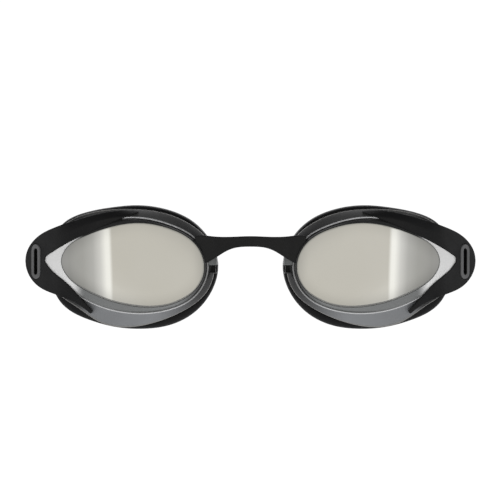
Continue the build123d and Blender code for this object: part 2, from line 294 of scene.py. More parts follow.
def vary(made, socket, texture, low, high):
    """Drives a number socket between low and high with a texture."""
    spread = node(made, "ShaderNodeMapRange")
    spread.inputs["From Min"].default_value = NOISE_LOW
    spread.inputs["From Max"].default_value = NOISE_HIGH
    spread.inputs["To Min"].default_value = low
    spread.inputs["To Max"].default_value = high
    link(made, texture.outputs["Fac"], spread.inputs["Value"])
    shader = made.node_tree.nodes[SHADER]
    link(made, spread.outputs["Result"], shader.inputs[socket])


def tint(made, texture, dark, light):
    """Drives the colour between two colours with a texture."""
    ramp = node(made, "ShaderNodeValToRGB")
    ramp.color_ramp.elements[0].position = NOISE_LOW
    ramp.color_ramp.elements[0].color = (*dark, 1.0)
    ramp.color_ramp.elements[1].position = NOISE_HIGH
    ramp.color_ramp.elements[1].color = (*light, 1.0)
    link(made, texture.outputs["Fac"], ramp.inputs["Fac"])
    link(made, ramp.outputs["Color"], made.node_tree.nodes[SHADER].inputs["Base Color"])
    return ramp


def bump(made, texture, strength, distance):
    """Raises the surface by up to a distance in millimetres."""
    lift = node(made, "ShaderNodeBump")
    lift.inputs["Strength"].default_value = strength
    lift.inputs["Distance"].default_value = distance * MM
    link(made, texture.outputs["Fac"], lift.inputs["Height"])
    link(made, lift.outputs["Normal"], made.node_tree.nodes[SHADER].inputs["Normal"])


def moulded_black(name, dark, light, roughness, grain):
    """Moulded plastic or silicone: a fine spark-eroded grain, with slightly uneven colour and gloss."""
    made = material(name, dark, roughness, Specular_IOR_Level=0.28)
    tint(made, noise(made, 90.0), dark, light)
    vary(made, "Roughness", noise(made, 220.0), roughness - 0.06, roughness + 0.08)
    bump(made, noise(made, 5200.0, 2.0), 0.25, grain)
    return made


def mirror_material():
    """The silver coating, darkened towards the lens's border by a value on the mesh: painted shade for the darker
    reflections that the rounded border takes.
    """
    made = material("mirror_coating", (0.93, 0.92, 0.9), 0.035, metallic=1.0)
    ramp = tint(made, noise(made, 30.0), (0.915, 0.905, 0.875), (0.945, 0.938, 0.92))
    painted_shade = node(made, "ShaderNodeAttribute", attribute_name="painted_edge_shade")
    mix = node(made, "ShaderNodeMix", data_type="RGBA", blend_type="MULTIPLY")
    mix.inputs["Factor"].default_value = 1.0
    link(made, ramp.outputs["Color"], mix.inputs["A"])
    link(made, painted_shade.outputs["Color"], mix.inputs["B"])
    link(made, mix.outputs["Result"], made.node_tree.nodes[SHADER].inputs["Base Color"])
    vary(made, "Roughness", noise(made, 160.0), 0.03, 0.05)
    return made


def clear_plastic(name, dark, light, roughness=0.08):
    """Clear polycarbonate in front of the dark seal: a grey body under a glossy skin."""
    made = material(name, dark, roughness, IOR=1.6)
    tint(made, noise(made, 45.0), dark, light)
    vary(made, "Roughness", noise(made, 140.0), roughness - 0.02, roughness + 0.04)
    bump(made, noise(made, 420.0, 2.0), 0.12, 0.02)
    return made


def shaded_plastic(name, dark, light, steps):
    """Clear plastic whose grey is painted to change with place, for light and shade and for what shows through
    it.

    Each step is an axis, the span along it where the grey changes, and the new grey. X is taken from the middle
    plane outwards.
    """
    made = clear_plastic(name, dark, light)
    shader = made.node_tree.nodes[SHADER]
    colour = shader.inputs["Base Color"].links[0].from_node.outputs["Color"]
    place = node(made, "ShaderNodeTexCoord")
    split = node(made, "ShaderNodeSeparateXYZ")
    link(made, place.outputs["Object"], split.inputs["Vector"])
    out = node(made, "ShaderNodeMath", operation="ABSOLUTE")
    link(made, split.outputs["X"], out.inputs[0])
    for axis, (start, end), shade in steps:
        edge = node(made, "ShaderNodeMapRange", interpolation_type="SMOOTHSTEP")
        edge.inputs["From Min"].default_value = start * MM
        edge.inputs["From Max"].default_value = end * MM
        link(made, out.outputs[0] if axis == "X" else split.outputs[axis], edge.inputs["Value"])
        mix = node(made, "ShaderNodeMix", data_type="RGBA")
        link(made, edge.outputs["Result"], mix.inputs["Factor"])
        link(made, colour, mix.inputs["A"])
        mix.inputs["B"].default_value = (shade, shade, shade, 1.0)
        colour = mix.outputs["Result"]
    link(made, colour, shader.inputs["Base Color"])
    return made


MIRROR = mirror_material()
LENS_EDGE = material("lens_edge", (0.6, 0.6, 0.58), 0.2, metallic=1.0)
tint(LENS_EDGE, noise(LENS_EDGE, 80.0), (0.56, 0.56, 0.54), (0.64, 0.64, 0.62))
# Painted shade: the clear plastic is darker towards the top, standing in for light from below; it is also darker
# towards the nose side and at the temple.
CLEAR = shaded_plastic("clear_polycarbonate", (0.18, 0.186, 0.194), (0.21, 0.216, 0.225),
                       [("Z", (-4.0, 6.0), 0.095), ("X", (33.0, 15.0), 0.03), ("X", (52.0, 57.0), 0.02)])
# Painted highlight: a light line along the skirt's corner, where it meets the seal.
RIM_HIGHLIGHT = clear_plastic("clear_rim_highlight", (0.22, 0.217, 0.212), (0.25, 0.246, 0.24), 0.2)
LENS_BACK = clear_plastic("lens_back", (0.10, 0.105, 0.11), (0.12, 0.125, 0.13), 0.08)
# Painted highlight: the bead round the ridge is light grey for the bright line it catches, dimmer towards the
# nose.
BEAD_HIGHLIGHT = shaded_plastic("clear_bead_highlight", (0.52, 0.525, 0.53), (0.6, 0.6, 0.61),
                            [("X", (26.0, 15.0), 0.26)])
# Painted shade on the bevel: darker towards the top as light comes from below, and darker towards the nose; at
# the temple it is painted light, for the white backdrop seen through the clear wing.
CLEAR_BEVEL = shaded_plastic("clear_bevel", (0.165, 0.17, 0.17), (0.19, 0.195, 0.195),
                             [("Z", (-4.0, 7.0), 0.03), ("X", (24.0, 15.0), 0.05),
                              ("X", (53.5, 58.0), 0.86)])
CLEAR_LUG = clear_plastic("clear_lug", (0.13, 0.135, 0.135), (0.16, 0.165, 0.165), 0.14)
HOOK = moulded_black("frame_plastic", (0.008, 0.008, 0.0085), (0.0105, 0.0105, 0.011), 0.42, 0.012)
BRIDGE = moulded_black("bridge_plastic", (0.009, 0.009, 0.0095), (0.012, 0.012, 0.0125), 0.38, 0.010)
SEAL_BLACK = moulded_black("seal_silicone", (0.006, 0.006, 0.0065), (0.009, 0.009, 0.0095), 0.34, 0.008)
STRAP = moulded_black("strap_silicone", (0.007, 0.007, 0.0075), (0.0105, 0.0105, 0.011), 0.46, 0.02)
SLIDER = moulded_black("adjuster_plastic", (0.008, 0.008, 0.0085), (0.011, 0.011, 0.0115), 0.36, 0.010)
# Painted sheen: the slot's ring is mid grey for the light that its rounded face catches.
BEZEL_SHEEN = moulded_black("bezel_plastic", (0.12, 0.12, 0.123), (0.15, 0.15, 0.153), 0.3, 0.008)
# Black of the strap posts, also used as painted shade on the slot's walls, and for the lug's dark notch.
POST_BLACK_AND_SHADE = moulded_black("post_plastic", (0.004, 0.004, 0.004), (0.006, 0.006, 0.006), 0.5, 0.006)


# ---- pieces --------------------------------------------------------------------------------------------
def place_piece(made, body, slot, *nodes):
    """Puts a piece on a body in place of CAD nodes; the slot it is given is not used."""
    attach(made, body)
    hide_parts(*nodes)
    return made


def edge_shares(count):
    """Shares from edge to edge, close together near both edges."""
    return (1 - np.cos(np.linspace(0, math.pi, count))) / 2


CROWN_RADIUS = 700.0          # faint curve of the lens from top to bottom
NOSE_TURN = (18.5, 260.0)     # x where the lens starts to turn towards the nose, and its radius there
EDGE_ROUND = 0.6              # width of the lens's rounded border
EDGE_DROP = 0.02              # how far that border falls back
EDGE_WIDTH = 0.26             # bare border that the mirror coating leaves
LENS_THICK = 1.0
LENS_COLUMNS = 260            # columns of points from nose to temple, with both edges
LENS_COLUMN_POINTS = 70       # points in a column
# Painted shade on the mirror: darker towards its border, most at the lower temple edge.
EDGE_SHADE_BORDER = 4.6             # width of the border where shade is painted on the mirror
EDGE_SHADE_LOSS = 0.3               # how much darker it is at the lower temple edge
EDGE_SHADE_LEAST = 0.3              # share of that loss at the opposite edge
EDGE_SHADE_FADE = 1.6               # how quickly it fades in from the edge
EDGE_SHADE_SIDE = -0.85             # direction of the darkest edge from the lens's middle, in radians


def mirror_lens(name, side):
    """The mirrored lens: upright columns that follow the wrap, with a rounded border and a thin edge."""
    loop = outline(LENS_SHAPE, lens_low[[0, 2]], lens_high[[0, 2]])
    first = int(np.argmin(loop[:, 0]))
    loop = np.roll(loop, -first, axis=0)
    last = int(np.argmax(loop[:, 0]))
    upper = loop[:last + 1]
    lower = np.concatenate([loop[last:], loop[:1]])[::-1]
    x_all = lens_low[0] + (lens_high[0] - lens_low[0]) * edge_shares(LENS_COLUMNS)
    x_all = x_all[1:-1]
    top = np.interp(x_all, upper[:, 0], upper[:, 1])
    bottom = np.interp(x_all, lower[:, 0], lower[:, 1])
    shares = edge_shares(LENS_COLUMN_POINTS)
    x = np.repeat(x_all[:, None], len(shares), axis=1)
    z = bottom[:, None] + (top - bottom)[:, None] * shares[None, :]
    near = edge_distance(x.ravel(), z.ravel(), loop).reshape(x.shape)
    fall = np.clip(1 - near / EDGE_ROUND, 0, 1) ** 2 * EDGE_DROP
    middle = (lens_low + lens_high) / 2
    y = surface(x, 0) + (z - middle[2]) ** 2 / (2 * CROWN_RADIUS) + fall
    y = y + np.clip(NOSE_TURN[0] - x, 0, None) ** 2 / (2 * NOSE_TURN[1])
    points = np.stack([x, y, z], axis=2).reshape(-1, 3)
    rows, columns = len(x_all), len(shares)
    faces, which = [], []
    for i in range(rows - 1):
        for j in range(columns - 1):
            a = i * columns + j
            faces.append((a, a + columns, a + columns + 1, a + 1))
            which.append(int(near[i:i + 2, j:j + 2].mean() < EDGE_WIDTH))
    border = list(range(columns))
    border += [i * columns + columns - 1 for i in range(1, rows)]
    border += [(rows - 1) * columns + j for j in range(columns - 2, -1, -1)]
    border += [i * columns for i in range(rows - 2, 0, -1)]
    start = len(points)
    which += [2] * len(faces)
    faces += [tuple(start + i for i in reversed(face)) for face in faces]
    points = np.concatenate([points, points + (0, LENS_THICK, 0)])
    count = len(border)
    for i in range(count):
        j = (i + 1) % count
        faces.append((border[i], border[j], start + border[j], start + border[i]))
    which += [1] * count
    made = mesh_object(name, points, faces, [MIRROR, LENS_EDGE, LENS_BACK], side, smooth_angle=35, which=which)
    # Painted shade, darkest towards the lower temple edge and fading in from the border.
    toward = 0.5 + 0.5 * np.cos(np.arctan2(z - middle[2], x - middle[0]) - EDGE_SHADE_SIDE)
    loss = EDGE_SHADE_LOSS * (EDGE_SHADE_LEAST + (1 - EDGE_SHADE_LEAST) * toward)
    loss = loss * np.clip(1 - near / EDGE_SHADE_BORDER, 0, 1) ** EDGE_SHADE_FADE
    painted_edge_shade = made.data.attributes.new("painted_edge_shade", "FLOAT", "POINT")
    painted_edge_shade.data.foreach_set("value", np.tile(1 - loss.ravel(), 2))
    return made


def edge_distance(x, z, loop):
    """Distance from each point to a closed outline."""
    found = np.full(len(x), 1e9)
    for start in range(0, len(loop), 4):
        piece = loop[start:start + 4]
        distance = np.hypot(x[:, None] - piece[None, :, 0], z[:, None] - piece[None, :, 1]).min(axis=1)
        found = np.minimum(found, distance)
    return found


FLANK_BACK = (6.0, 4.4)       # depth at which the skirt's slope ends, on the nose side and at the temple
FLANK_TURN = (0.1, 0.45)      # where one goes over into the other, in cosines of the angle round the eye
FLANK_SHARES = (0.08, 0.2, 0.35, 0.5, 0.65, 0.8, 0.9)     # where the slope's rings stand
FLANK_SWELL = 0.5             # outward swell of the slope
CORNER_IN_SEAL = 3.9          # how far in front of the rim the skirt's corner is at most
BEVEL_FULL = 2.4              # bevels up to this width drop fully, and wider ones by less
BEVEL_LEAST = 0.3             # but by this share at least
BEVEL_FRONT = 0.36            # depth of the bevel at the lens
BEVEL_DROP = 1.3              # its full drop
SEAM_WIDTH = 0.13             # gap between lens and bevel at the temple
SEAM_TURN = (0.75, 0.2)       # where it opens, in cosines of the angle round the eye
# The cup's section. Each pair is a step out from an outline, then a depth or a distance.
# From the ridge, with depth: the bead, the seat of the slope, and the front of the hollow.
BEAD_SECTION = ((-0.27, 1.5), (-0.15, 1.33), (0.0, 1.3), (0.13, 1.4), (0.22, 1.65))
FLANK_SEAT = (0.26, 2.2)
HOLLOW_FRONT = (0.2, 4.6)
# From the skirt's corner, with the distance behind it.
RIM_SECTION = ((-0.34, -0.26), (-0.18, -0.25), (-0.04, -0.1), (0.0, 0.12))
# From the skirt, with the distance behind the rim: the wall, the rear edge, and the wall's inside.
WALL_SECTION = ((0.0, -3.35), (0.0, -2.0), (-0.1, 0.0), (-1.4, 0.0), (-1.6, -0.3), (-1.7, -3.4))
# From the lens, with depth: the seat behind it.
SEAT_SECTION = ((-1.1, 4.2), (-1.5, 4.0), (-1.5, 1.5), (-1.4, 1.3))


def flank_back(angle):
    """Depth of the skirt's outer corner at an angle round the eye."""
    share = smooth_step(np.clip((np.cos(angle) + FLANK_TURN[0]) / FLANK_TURN[1], 0, 1))
    return FLANK_BACK[0] + (FLANK_BACK[1] - FLANK_BACK[0]) * share


def eyecup(name, side):
    """The clear cup: a bevel round the lens, a bead, a skirt that slopes back, and the hollow behind."""
    bevel = RIDGE - LENS
    steep = np.clip(BEVEL_FULL / bevel, BEVEL_LEAST, 1.0)
    seam = SEAM_WIDTH * np.clip((ROUND[:, 0] - SEAM_TURN[0]) / SEAM_TURN[1], 0, 1)
    outward = np.stack([ROUND[:, 0], np.zeros(RING), ROUND[:, 1]], axis=1)

    def on_bevel(distance, share):
        """Between a shallow and a full drop: the wide bevel at the temple stays nearly level."""
        level, deep = on_surface(distance, BEVEL_FRONT), on_surface(distance, BEVEL_FRONT + BEVEL_DROP * share)
        level[:, 1] += (deep[:, 1] - level[:, 1]) * steep
        return level

    hidden_front = [
        on_surface(LENS - 0.25, 1.3),
        on_surface(LENS + 0.05, 0.6),
        on_surface(LENS + 0.07 + 0.8 * seam, 0.55),
    ]
    bevel_rings = [
        on_surface(LENS + 0.1 + seam, 0.32),
        on_surface(LENS + 0.22 + seam, 0.27),
        on_bevel(LENS + 0.36 + seam, 0.0),
        on_bevel(LENS + 0.5 * bevel, 0.46),
        on_bevel(RIDGE - 0.46, 0.97),
        on_bevel(RIDGE - 0.34, 1.0),
    ]
    bead_rings = [on_surface(RIDGE + out, depth) for out, depth in BEAD_SECTION]

    corner = on_surface(SKIRT, FLANK_BACK[0])
    share = (FLANK_BACK[0] - flank_back(ANGLES)) / (FLANK_BACK[0] - FLANK_BACK[1])
    corner[:, 1] += (on_surface(SKIRT, FLANK_BACK[1])[:, 1] - corner[:, 1]) * share
    corner[:, 1] = np.minimum(corner[:, 1], on_seal(SKIRT, RIM_Y - CORNER_IN_SEAL)[:, 1])
    start = on_surface(RIDGE + FLANK_SEAT[0], FLANK_SEAT[1])
    flank_rings = [start]
    for share in FLANK_SHARES:
        swell = outward * (FLANK_SWELL * share * (1 - share))
        flank_rings.append(start + (corner - start) * share + swell)

    rim_rings = [corner + outward * out + (0, back, 0) for out, back in RIM_SECTION]
    back_rings = [on_seal(SKIRT + out, RIM_Y + back) for out, back in WALL_SECTION]
    back_rings += [on_surface(RIDGE + HOLLOW_FRONT[0], HOLLOW_FRONT[1])]
    back_rings += [on_surface(LENS + out, depth) for out, depth in SEAT_SECTION]

    # The bead takes a painted highlight, the bevel painted shade, and the skirt's corner a painted highlight
    # line.
    groups = [(hidden_front, 0), (bevel_rings, 2), (bead_rings, 1), (flank_rings, 0), (rim_rings, 3),
              (back_rings, 0)]
    rings = [ring for group, kind in groups for ring in group]
    which = [kind for group, kind in groups for ring in group for i in range(RING)]
    points, faces = rings_mesh(rings, closed=True)
    return mesh_object(name, points, faces, [CLEAR, BEAD_HIGHLIGHT, CLEAR_BEVEL, RIM_HIGHLIGHT], side, smooth_angle=60,
                       which=which)


LUG_NEAR = 0.3                # from the cup's nose side to the lug's
LUG_FAR = 13.5                # x where the lug ends inside the cup
LUG_FRONT = -19.3             # front of the lug, against the cup
LUG_BACK = -12.0
LUG_SLANT = 2.4               # how much further back its front is on the nose side
CHEEK_UPPER = (-0.1, 2.25)    # z of the upper cheek, of the notch under it, and of the lower cheek
NOTCH = (-2.4, -0.1)
CHEEK_LOWER = (-2.85, -2.4)
LUG_BEVEL = 0.2


def block(low, high, slant):
    """Corners and faces of a box whose front stands back by slant on its low side."""
    (a, b, c), (d, e, f) = low, high
    corners = [(x, y, z) for z in (c, f) for x, y in ((a, b + slant), (d, b), (d, e), (a, e))]
    return corners, [(0, 3, 2, 1), (4, 5, 6, 7), (0, 1, 5, 4), (1, 2, 6, 5), (2, 3, 7, 6), (3, 0, 4, 7)]


def nose_lug(name, side):
    """The socket on the nose side of a cup: a cheek above and below a dark notch, which is set back."""
    near = cup_low[0] + LUG_NEAR
    parts = [((near, LUG_FRONT, CHEEK_UPPER[0]), (LUG_FAR, LUG_BACK, CHEEK_UPPER[1]), 0),
             ((near + 0.2, LUG_FRONT + 0.1, CHEEK_LOWER[0]), (LUG_FAR - 0.3, LUG_BACK, CHEEK_LOWER[1]), 2),
             ((near + 0.5, LUG_FRONT + 0.4, NOTCH[0]), (LUG_FAR, LUG_BACK - 0.1, NOTCH[1]), 1)]
    points, faces, which = [], [], []
    for low, high, kind in parts:
        corners, sides = block(low, high, LUG_SLANT)
        faces += [tuple(len(points) + i for i in face) for face in sides]
        points += corners
        which += [kind] * len(sides)
    made = mesh_object(name, points, faces, [CLEAR_LUG, POST_BLACK_AND_SHADE, CLEAR], side, smooth_angle=40, which=which)
    bevel = made.modifiers.new("bevel", "BEVEL")
    bevel.width = LUG_BEVEL * MM
    bevel.segments = 3
    return made


# The seal's section: share of the way from skirt to seal, step out from there, and distance behind the rim.
GRIP_SECTION = ((0.0, 0.03, -3.1), (0.0, 0.1, -3.4), (0.16, 0.14, -3.55), (0.4, 0.0, -3.4), (0.65, 0.0, -3.0),
                (0.85, 0.0, -2.3), (0.96, 0.0, -1.3))
# Then steps out from the seal's outline, and distances behind the rim: the bulge, the face lip, and its inside.
LIP_SECTION = ((0.0, 0.0), (-0.15, 1.6), (-0.6, 3.2), (-0.8, 4.4), (-0.55, 5.5), (-0.2, 6.3), (-0.3, 6.8),
               (-0.9, 7.0), (-2.0, 6.85), (-3.2, 6.2), (-3.9, 5.3), (-4.1, 4.4), (-3.7, 4.0), (-2.9, 4.4),
               (-2.3, 3.6))
# And steps out from the skirt's outline: the groove that holds the cup's rear edge.
GROOVE_SECTION = ((-1.9, 1.2), (-1.9, 0.3), (-1.7, 0.1), (-0.1, 0.08), (0.03, -0.2))


def gasket(name, side):
    """The silicone seal: it grips the skirt, bulges, and turns in to a soft lip on the face."""
    gap = SEAL - SKIRT
    rings = [on_seal(SKIRT + gap * share + out, RIM_Y + back) for share, out, back in GRIP_SECTION]
    rings += [on_seal(SEAL + out, RIM_Y + back) for out, back in LIP_SECTION]
    rings += [on_seal(SKIRT + out, RIM_Y + back) for out, back in GROOVE_SECTION]
    points, faces = rings_mesh(rings, closed=True)
    return mesh_object(name, points, faces, [SEAL_BLACK], side)


HUG_START = 62.0              # x from which the frame's arms begin to lie back, and the run to full effect
HUG_RUN = 6.0
HUG_FRONT = 2.9               # depth of the arms' rear face where they leave the ridge
HUG_SINK = 0.6                # how far their outer edges sink into the slope
HUG_FROM = 0.2                # distance outside the ridge at which the bend begins
HUG_LEAST = 0.6               # least width it is spread over
HUG_PAST = 1.3                # how far past the skirt it goes on, as a share of that width
HUG_CURVE = 1.5
HUG_TIP = 0.7                 # how far the upper tips sink towards the cup; the lower ones sink by half
UPPER_TIP = (50.0, 13.0)      # x from which the upper arm sinks, and the run to full effect
LOWER_TIP = (59.0, 7.0)


def hug_cup(made):
    """Bends the frame's arms back where they lie on the slope of the skirt."""
    mesh = made.data
    places = np.empty(len(mesh.vertices) * 3)
    mesh.vertices.foreach_get("co", places)
    places = places.reshape(-1, 3)
    x, z = np.abs(places[:, 0]) / MM, places[:, 2] / MM
    angle = np.arctan2(z - EYE[1], x - EYE[0])
    ridge = np.interp(angle, ANGLES, RIDGE, period=2 * math.pi)
    skirt = np.interp(angle, ANGLES, SKIRT, period=2 * math.pi)
    away = np.hypot(x - EYE[0], z - EYE[1])
    width = np.maximum(skirt - ridge - HUG_FROM, HUG_LEAST)
    share = np.clip((away - ridge - HUG_FROM) / width, 0, HUG_PAST)
    arm = smooth_step(np.clip((HUG_START - x) / HUG_RUN, 0, 1))
    upper = np.clip((UPPER_TIP[0] - x) / UPPER_TIP[1], 0, 1) * (z > 0)
    lower = np.clip((LOWER_TIP[0] - x) / LOWER_TIP[1], 0, 1) * (z < 0)
    drop = flank_back(angle) - HUG_FRONT + HUG_SINK
    places[:, 1] += (share ** HUG_CURVE * arm * drop + upper * HUG_TIP + lower * HUG_TIP / 2) * MM
    mesh.vertices.foreach_set("co", places.ravel())
    mesh.update()
    return made


def rounded_copy(name, source, material_used, voxel, rounds):
    """A CAD node's shape, its edges rounded as moulding leaves them: voxel size, and rounds of smoothing."""
    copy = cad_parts[source].copy()
    copy.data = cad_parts[source].data.copy()
    copy.name = name
    copy.parent = None
    copy.hide_render = False
    copy.hide_viewport = False
    for key in list(copy.keys()):
        del copy[key]
    bpy.context.scene.collection.objects.link(copy)
    remesh = copy.modifiers.new("remesh", "REMESH")
    remesh.mode = "VOXEL"
    remesh.voxel_size = voxel * MM
    smooth = copy.modifiers.new("smooth", "SMOOTH")
    smooth.factor = 0.5
    smooth.iterations = rounds
    depsgraph = bpy.context.evaluated_depsgraph_get()
    mesh = bpy.data.meshes.new_from_object(copy.evaluated_get(depsgraph))
    copy.modifiers.clear()
    copy.data = mesh
    mesh.name = name
    mesh.materials.clear()
    mesh.materials.append(material_used)
    mesh.shade_smooth()
    return copy


RING_OUTER = 2.35             # end radius of the slot's ring, outside and inside
RING_INNER = 0.85
RING_STEPS = 96
# Its section: steps out from one of those radii, and heights over the middle of its thickness.
RING_OUTSIDE = ((0.0, -0.6), (0.0, 0.36), (-0.07, 0.5), (-0.2, 0.58), (-0.4, 0.6))
RING_INSIDE = ((0.3, 0.56), (0.12, 0.46), (0.0, 0.28), (0.0, -0.6))
RING_DARK = 6                 # rings from this one on bound the walls down into the slot, painted near-black as their shade


def slot_ring(name, side):
    """The oval ring round the strap's slot: a rounded face painted mid grey as a sheen, and walls down into the
    slot painted near-black as their shade.
    """
    middle = (ring_low + ring_high) / 2
    half_height = (ring_high[2] - ring_low[2]) / 2
    turn = (math.cos(TEMPLE_ANGLE), math.sin(TEMPLE_ANGLE))
    angles = np.linspace(0, 2 * math.pi, RING_STEPS, endpoint=False)

    def loop(radius, height):
        """A stadium of an end radius, at a height over the middle of the ring's thickness."""
        across = radius * np.cos(angles)
        up = radius * np.sin(angles) + np.sign(np.sin(angles)) * (half_height - RING_OUTER)
        x = middle[0] + across * turn[0] + height * turn[1]
        y = middle[1] + across * turn[1] - height * turn[0]
        return np.stack([x, y, middle[2] + up], axis=1)

    rings = [loop(RING_OUTER + out, height) for out, height in RING_OUTSIDE]
    rings += [loop(RING_INNER + out, height) for out, height in RING_INSIDE]
    points, faces = rings_mesh(rings, closed=True)
    which = [1 if ring >= RING_DARK else 0 for ring in range(len(rings)) for i in range(RING_STEPS)]
    return mesh_object(name, points, faces, [BEZEL_SHEEN, POST_BLACK_AND_SHADE], side, smooth_angle=60, which=which)


for word, side in SIDES:
    place_piece(mirror_lens("lens_" + word, side), "goggle_front", "mirror_coating", "mirror_lens_" + word)
    place_piece(eyecup("cup_" + word, side), "goggle_front", "clear_polycarbonate", "eyecup_" + word)
    lug = nose_lug("lug_" + word, side)
    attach(lug, "goggle_front")
    place_piece(gasket("seal_" + word, side), "goggle_front", "seal_silicone", "gasket_" + word)
    hook = rounded_copy("hook_" + word, "temple_frame_" + word, HOOK, 0.2, 3)
    place_piece(hug_cup(hook), "goggle_front", "frame_plastic", "temple_frame_" + word)
    place_piece(slot_ring("bezel_" + word, side), "goggle_front", "bezel_plastic", "slot_bezel_" + word)

bridge = rounded_copy("bridge", "nose_bridge", BRIDGE, 0.2, 14)
place_piece(bridge, "bridge", "bridge_plastic", "nose_bridge")


def finish_cad(node_name, material_used):
    """A CAD node whose shape is right keeps it, and takes a finished material."""
    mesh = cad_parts[node_name].data
    for index in range(len(mesh.materials)):
        mesh.materials[index] = material_used
    if not len(mesh.materials):
        mesh.materials.append(material_used)


# ---- strap -----------------------------------------------------------------------------------------
RISE = math.radians(2.8)      # how steeply the strap climbs to the back of the head
THICK = 1.2
TALL = 9.0
BAR_PITCH = 6.0               # from bar to bar of a slide
FIRST_BAR = 19.1              # from the post to the slide's first bar
LOOP = 1.75                   # from a bar's axis to the middle of the strap that turns round it
LOOP_STEPS = 25
BAND_START = 0.4              # from the middle bar to the band's end inside the loop
BAND_OVERLAP = 0.6            # how far the band runs into the back of the strap
FOLD_END = 0.6                # how far the fold runs on past the middle bar, into the tail
TAIL_START = 0.5
TAIL_LENGTH = 36.0
TAIL_CORNER = 2.0             # radius of the tail's rounded end
RUN_STEPS = 60                # sections along a straight run


def section(height, thickness, corner=0.32, steps=4):
    """A rounded rectangle, as (out, up) pairs."""
    half_out, half_up = thickness / 2, height / 2
    pairs = []
    for quarter, (sign_out, sign_up) in enumerate([(1, 1), (-1, 1), (-1, -1), (1, -1)]):
        for step in range(steps + 1):
            angle = (quarter + step / steps) * math.pi / 2
            pairs.append((sign_out * (half_out - corner) + corner * math.cos(angle),
                          sign_up * (half_up - corner) + corner * math.sin(angle)))
    return np.array(pairs)


def ribbon(name, path, side, heights=None):
    """A strap along a level path of (x, y) points beside the post, raised to the strap's slope."""
    path = np.asarray(path, float)
    heading = np.gradient(path, axis=0)
    heading /= np.linalg.norm(heading, axis=1)[:, None]
    out = np.stack([heading[:, 1], -heading[:, 0]], axis=1)
    heights = np.full(len(path), TALL) if heights is None else heights
    rings = []
    for place, away, height in zip(path, out, heights):
        shape = section(height, THICK)
        level = np.stack([place[0] + shape[:, 0] * away[0], place[1] + shape[:, 0] * away[1],
                          post[2] + shape[:, 1]], axis=1)
        rings.append(climb(level))
    points, faces = rings_mesh(rings, closed=False)
    count = len(rings[0])
    faces = [tuple(reversed(face)) for face in faces]
    faces.append(tuple(range(count)))
    faces.append(tuple(reversed(range(len(points) - count, len(points)))))
    return mesh_object(name, points, faces, [STRAP], side, smooth_angle=40)


def climb(points):
    """Turns level points about the post to the strap's rise."""
    y, z = points[:, 1] - post[1], points[:, 2] - post[2]
    turned = points.copy()
    turned[:, 1] = post[1] + y * math.cos(RISE) - z * math.sin(RISE)
    turned[:, 2] = post[2] + y * math.sin(RISE) + z * math.cos(RISE)
    return turned


bar_y = post[1] + FIRST_BAR + BAR_PITCH
loop_angles = np.linspace(-math.pi, 0, LOOP_STEPS)
for word, side in SIDES:
    finish_cad("strap_post_" + word, POST_BLACK_AND_SHADE)

    end = rounded_copy("eye_" + word, "strap_end_" + word, STRAP, 0.16, 3)
    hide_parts("strap_end_" + word)
    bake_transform(end)

    slider = rounded_copy("slider_" + word, "adjuster_" + word, SLIDER, 0.16, 4)
    place_piece(slider, "strap_yoke", "adjuster_plastic", "adjuster_" + word)

    run = np.linspace(bar_y + BAND_START, side_high[1] + BAND_OVERLAP, RUN_STEPS)
    band = ribbon("band_" + word, [(post[0] - LOOP, y) for y in run], side)
    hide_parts("strap_side_" + word)
    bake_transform(band)

    turn = [(post[0] + LOOP * math.cos(a), bar_y + LOOP * math.sin(a)) for a in loop_angles]
    fold = ribbon("fold_" + word, turn + [(post[0] + LOOP, bar_y + FOLD_END)], side)
    place_piece(fold, "strap_yoke", "strap_silicone", "strap_tail_" + word)

    run = np.linspace(bar_y + TAIL_START, bar_y + TAIL_LENGTH, RUN_STEPS)
    ending = np.clip(run[-1] - run, 0, TAIL_CORNER)
    chord = np.clip(TAIL_CORNER ** 2 - (TAIL_CORNER - ending) ** 2, 0.01, TAIL_CORNER ** 2)
    heights = TALL - 2 * TAIL_CORNER + 2 * np.sqrt(chord)
    tail = ribbon("tail_" + word, [(post[0] + LOOP, y) for y in run], side, heights)
    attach(tail, "strap_yoke")
    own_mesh(tail)

back = rounded_copy("strap_rear", "strap_back", STRAP, 0.28, 3)
place_piece(back, "head_strap", "strap_silicone", "strap_back")


# ---- stage, light and camera ---------------------------------------------------------------------------
CAMERA_DISTANCE = 450.0       # in front of the lenses
CAMERA_X = -0.16
CAMERA_Z = 4.8
FRONT_Y = -21.0               # front of the lenses
VIEW_WIDTH = 160.0            # width that the picture shows there
SENSOR = 36.0
CARD_SLANT = -0.55            # how far the bright cards lean as they rise
FLOOR_REACH = 6000.0
FLOOR_LEVEL = -600.0
FLOOR_GLOW = 0.9
BACKDROP = 1.05               # brightness of the plain white that the camera sees
# The surroundings by direction: degrees away from straight ahead, and the colour there.
SURROUNDINGS = [
    (0.0, (0.45, 0.445, 0.41)), (4.5, (0.47, 0.46, 0.425)), (6.8, (0.57, 0.555, 0.505)),
    (10.4, (0.57, 0.555, 0.505)), (14.4, (0.93, 0.93, 0.89)), (18.5, (0.93, 0.93, 0.89)),
    (26.0, (0.66, 0.66, 0.64)), (36.0, (0.47, 0.47, 0.455)), (50.0, (0.385, 0.385, 0.37)),
    (70.0, (0.355, 0.355, 0.345)), (100.0, (0.5, 0.5, 0.5)), (180.0, (1.0, 1.0, 1.0)),
]
ABOVE_AHEAD = (0.13, 0.13, 0.135)
ABOVE_BEHIND = (0.75, 0.75, 0.76)
BEHIND_SPAN = (0.25, 0.8)     # where above goes from one to the other, in y of the direction
ABOVE_SPAN = (12.0, 26.0)     # degrees of height over which above comes in
BELOW = (0.95, 0.96, 0.97)
BELOW_SPAN = (8.0, 30.0)      # and degrees down for below
# Lamps: name, place, size and power in watts.
LAMPS = [
    ("front_fill", (0, -700, 150), (700, 300), 0.5),
    ("rear_fill", (0, 420, 260), (400, 300), 0.8),
]


